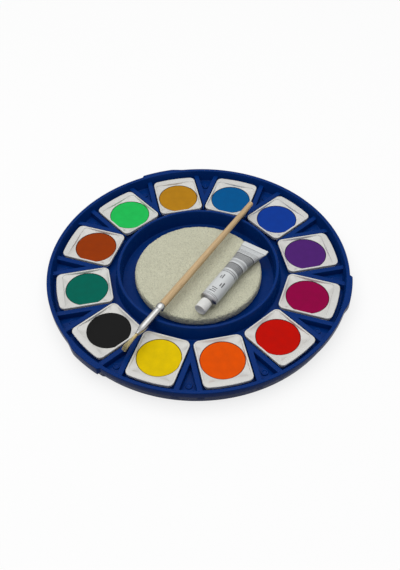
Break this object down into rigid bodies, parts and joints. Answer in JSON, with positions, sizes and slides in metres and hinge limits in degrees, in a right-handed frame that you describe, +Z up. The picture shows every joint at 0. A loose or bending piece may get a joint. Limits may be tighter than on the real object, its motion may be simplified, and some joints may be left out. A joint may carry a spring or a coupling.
{
  "type": "watercolour paint box",
  "caption": "Round moulded paint box: pans of coloured paint in a ring round a sponge well, with a flat brush across the well and a small paint tube on the sponge.",
  "frame": {"origin": "centre of the tray's underside, on the surface it stands on", "axes": "+Z up; +X towards the gap between the magenta and the violet pan; pans lie counter-clockwise from violet at 15 degrees"},
  "size_m": [0.2164, 0.2148, 0.0226],
  "materials": {
    "tray_plastic": "royal blue moulded plastic, soft gloss",
    "pan_plastic": "white moulded plastic",
    "sponge_foam": "cream open-cell foam",
    "handle_wood": "raw light wood",
    "ferrule_metal": "bright seamless ferrule",
    "bristle_hair": "golden cream bristles, greyer at the tip",
    "tube_enamel": "white enamelled soft aluminium with grey bands",
    "cap_plastic": "white moulded plastic",
    "liner_plastic": "soft sealing disc",
    "paint_violet": "pressed dry paint, matt",
    "paint_ultramarine": "pressed dry paint, matt",
    "paint_cerulean": "pressed dry paint, matt",
    "paint_ochre": "pressed dry paint, matt",
    "paint_light_green": "pressed dry paint, matt",
    "paint_brown": "pressed dry paint, matt",
    "paint_teal": "pressed dry paint, matt",
    "paint_black": "pressed dry paint, matt",
    "paint_yellow": "pressed dry paint, matt",
    "paint_orange": "pressed dry paint, matt",
    "paint_red": "pressed dry paint, matt",
    "paint_magenta": "pressed dry paint, matt"
  },
  "bodies": {
    "tray": {"tray": "tray_plastic"},
    "pan_violet_body": {"pan_violet": "pan_plastic", "paint_violet": "paint_violet"},
    "pan_ultramarine_body": {"pan_ultramarine": "pan_plastic", "paint_ultramarine": "paint_ultramarine"},
    "pan_cerulean_body": {"pan_cerulean": "pan_plastic", "paint_cerulean": "paint_cerulean"},
    "pan_ochre_body": {"pan_ochre": "pan_plastic", "paint_ochre": "paint_ochre"},
    "pan_light_green_body": {"pan_light_green": "pan_plastic", "paint_light_green": "paint_light_green"},
    "pan_brown_body": {"pan_brown": "pan_plastic", "paint_brown": "paint_brown"},
    "pan_teal_body": {"pan_teal": "pan_plastic", "paint_teal": "paint_teal"},
    "pan_black_body": {"pan_black": "pan_plastic", "paint_black": "paint_black"},
    "pan_yellow_body": {"pan_yellow": "pan_plastic", "paint_yellow": "paint_yellow"},
    "pan_orange_body": {"pan_orange": "pan_plastic", "paint_orange": "paint_orange"},
    "pan_red_body": {"pan_red": "pan_plastic", "paint_red": "paint_red"},
    "pan_magenta_body": {"pan_magenta": "pan_plastic", "paint_magenta": "paint_magenta"},
    "sponge_body": {"sponge": "sponge_foam"},
    "brush_body": {"brush_handle": "handle_wood", "brush_ferrule": "ferrule_metal", "brush_bristles": "bristle_hair"},
    "tube_body_group": {"tube_body": "tube_enamel"},
    "cap_liner_body": {"cap_liner": "liner_plastic"},
    "tube_cap_body": {"tube_cap": "cap_plastic"}
  },
  "joints": [
    {"name": "pan_violet_lift", "type": "slide", "parent": "tray", "child": "pan_violet_body", "axis": [0, 0, 1], "range_m": [0, 0.022]},
    {"name": "pan_ultramarine_lift", "type": "slide", "parent": "tray", "child": "pan_ultramarine_body", "axis": [0, 0, 1], "range_m": [0, 0.004]},
    {"name": "pan_cerulean_lift", "type": "slide", "parent": "tray", "child": "pan_cerulean_body", "axis": [0, 0, 1], "range_m": [0, 0.004]},
    {"name": "pan_ochre_lift", "type": "slide", "parent": "tray", "child": "pan_ochre_body", "axis": [0, 0, 1], "range_m": [0, 0.022]},
    {"name": "pan_light_green_lift", "type": "slide", "parent": "tray", "child": "pan_light_green_body", "axis": [0, 0, 1], "range_m": [0, 0.022]},
    {"name": "pan_brown_lift", "type": "slide", "parent": "tray", "child": "pan_brown_body", "axis": [0, 0, 1], "range_m": [0, 0.022]},
    {"name": "pan_teal_lift", "type": "slide", "parent": "tray", "child": "pan_teal_body", "axis": [0, 0, 1], "range_m": [0, 0.022]},
    {"name": "pan_black_lift", "type": "slide", "parent": "tray", "child": "pan_black_body", "axis": [0, 0, 1], "range_m": [0, 0.004]},
    {"name": "pan_yellow_lift", "type": "slide", "parent": "tray", "child": "pan_yellow_body", "axis": [0, 0, 1], "range_m": [0, 0.004]},
    {"name": "pan_orange_lift", "type": "slide", "parent": "tray", "child": "pan_orange_body", "axis": [0, 0, 1], "range_m": [0, 0.022]},
    {"name": "pan_red_lift", "type": "slide", "parent": "tray", "child": "pan_red_body", "axis": [0, 0, 1], "range_m": [0, 0.022]},
    {"name": "pan_magenta_lift", "type": "slide", "parent": "tray", "child": "pan_magenta_body", "axis": [0, 0, 1], "range_m": [0, 0.022]},
    {"name": "sponge_lift", "type": "slide", "parent": "tray", "child": "sponge_body", "axis": [0, 0, 1], "range_m": [0, 0.024]},
    {"name": "brush_lift", "type": "slide", "parent": "sponge_body", "child": "brush_body", "axis": [0, 0, 1], "range_m": [0, 0.03]},
    {"name": "tube_lift", "type": "slide", "parent": "sponge_body", "child": "tube_body_group", "axis": [0, 0, 1], "range_m": [0, 0.03]},
    {"name": "cap_travel", "type": "slide", "parent": "tube_body_group", "child": "cap_liner_body", "axis": [-0.5023, -0.8647, 0], "range_m": [0, 0.006]},
    {"name": "cap_turn", "type": "hinge", "parent": "cap_liner_body", "child": "tube_cap_body", "pos_m": [0.00393, -0.04281, 0.0163], "axis": [-0.5023, -0.8647, 0], "range_deg": [0, 1440]}
  ],
  "couplings": [
    {"joint": "cap_turn", "follows": "cap_travel", "rad_per_m": 4188.8}
  ]
}
